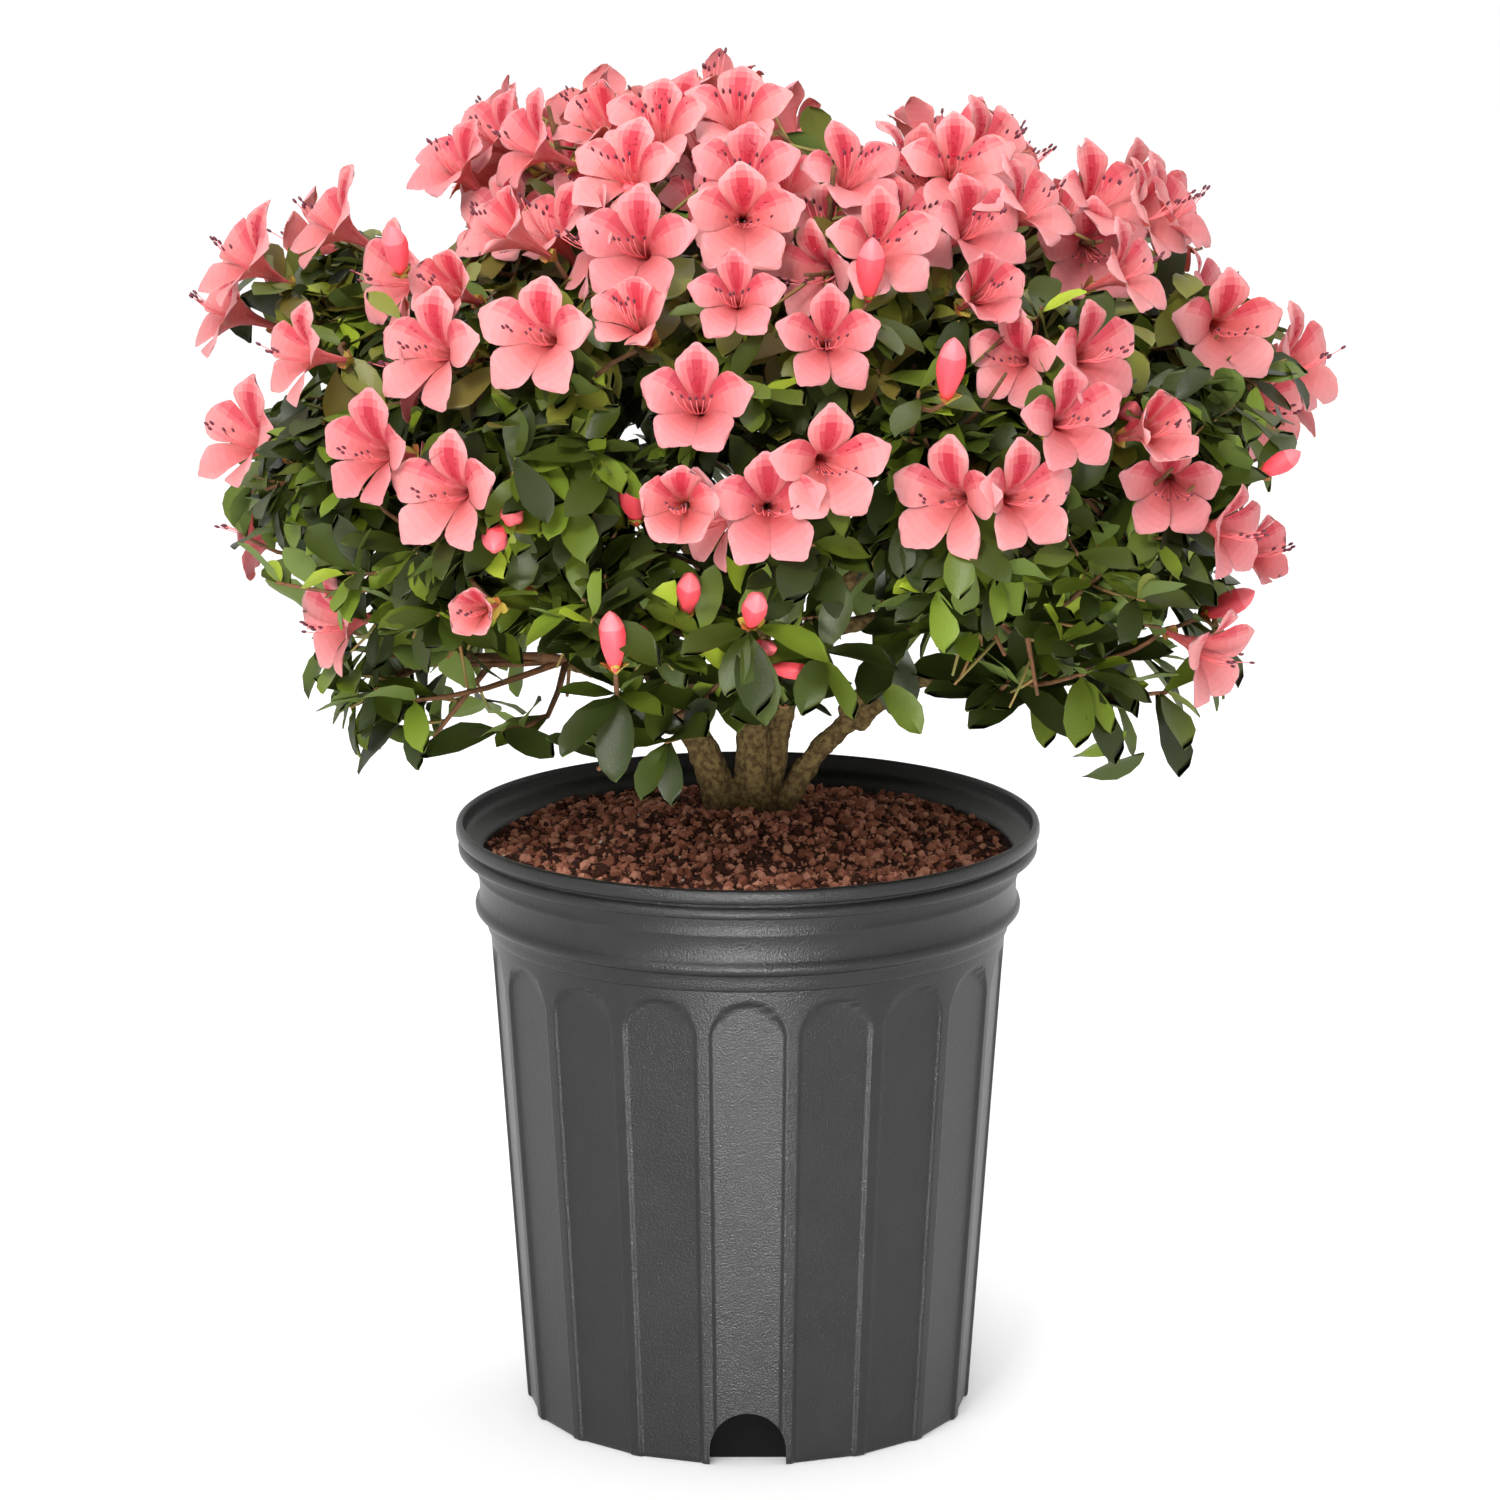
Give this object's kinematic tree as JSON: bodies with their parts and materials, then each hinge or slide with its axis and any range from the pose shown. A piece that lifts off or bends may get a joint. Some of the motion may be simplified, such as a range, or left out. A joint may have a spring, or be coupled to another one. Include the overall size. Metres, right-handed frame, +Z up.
{
  "type": "potted azalea shrub",
  "caption": "Flowering azalea shrub with coral-pink blossom on forked stems, standing in a black fluted plastic nursery pot filled with potting mix.",
  "frame": {"origin": "centre of the pot's flat underside", "axes": "+Z up, -Y towards the front, where one drain notch of the pot is, +X to the right seen from the front"},
  "size_m": [0.5168, 0.4705, 0.6474],
  "materials": {
    "pot": "satin",
    "soil": "matte",
    "bark": "matte",
    "foliage": "matte"
  },
  "bodies": {
    "root": {"bough_high_1": "bark", "bough_high_2": "bark", "bough_high_3": "bark", "bough_high_4": "bark", "bough_high_5": "bark", "bough_low_1": "bark", "bough_low_2": "bark", "bough_low_3": "bark", "bough_low_4": "bark", "bough_low_5": "bark", "bough_top_1": "bark", "bough_top_2": "bark", "bough_top_3": "bark", "bough_top_4": "bark", "mass_apex_1": "foliage", "mass_apex_2": "foliage", "mass_belt_1": "foliage", "mass_belt_2": "foliage", "mass_belt_3": "foliage", "mass_belt_4": "foliage", "mass_belt_5": "foliage", "mass_belt_6": "foliage", "mass_belt_7": "foliage", "mass_belt_8": "foliage", "mass_belt_9": "foliage", "mass_low_1": "foliage", "mass_low_2": "foliage", "mass_low_3": "foliage", "mass_low_4": "foliage", "mass_low_5": "foliage", "mass_low_6": "foliage", "mass_low_7": "foliage", "mass_shoulder_1": "foliage", "mass_shoulder_2": "foliage", "mass_shoulder_3": "foliage", "mass_shoulder_4": "foliage", "mass_shoulder_5": "foliage", "mass_shoulder_6": "foliage", "mass_shoulder_7": "foliage", "mass_skirt_1": "foliage", "mass_skirt_2": "foliage", "mass_skirt_3": "foliage", "mass_skirt_4": "foliage", "mass_skirt_5": "foliage", "mass_top_1": "foliage", "mass_top_2": "foliage", "mass_top_3": "foliage", "mass_top_4": "foliage", "mass_top_5": "foliage", "mass_upper_1": "foliage", "mass_upper_2": "foliage", "mass_upper_3": "foliage", "mass_upper_4": "foliage", "mass_upper_5": "foliage", "mass_upper_6": "foliage", "mass_upper_7": "foliage", "pot": "pot", "soil": "soil", "trunk": "bark"}
  },
  "joints": []
}
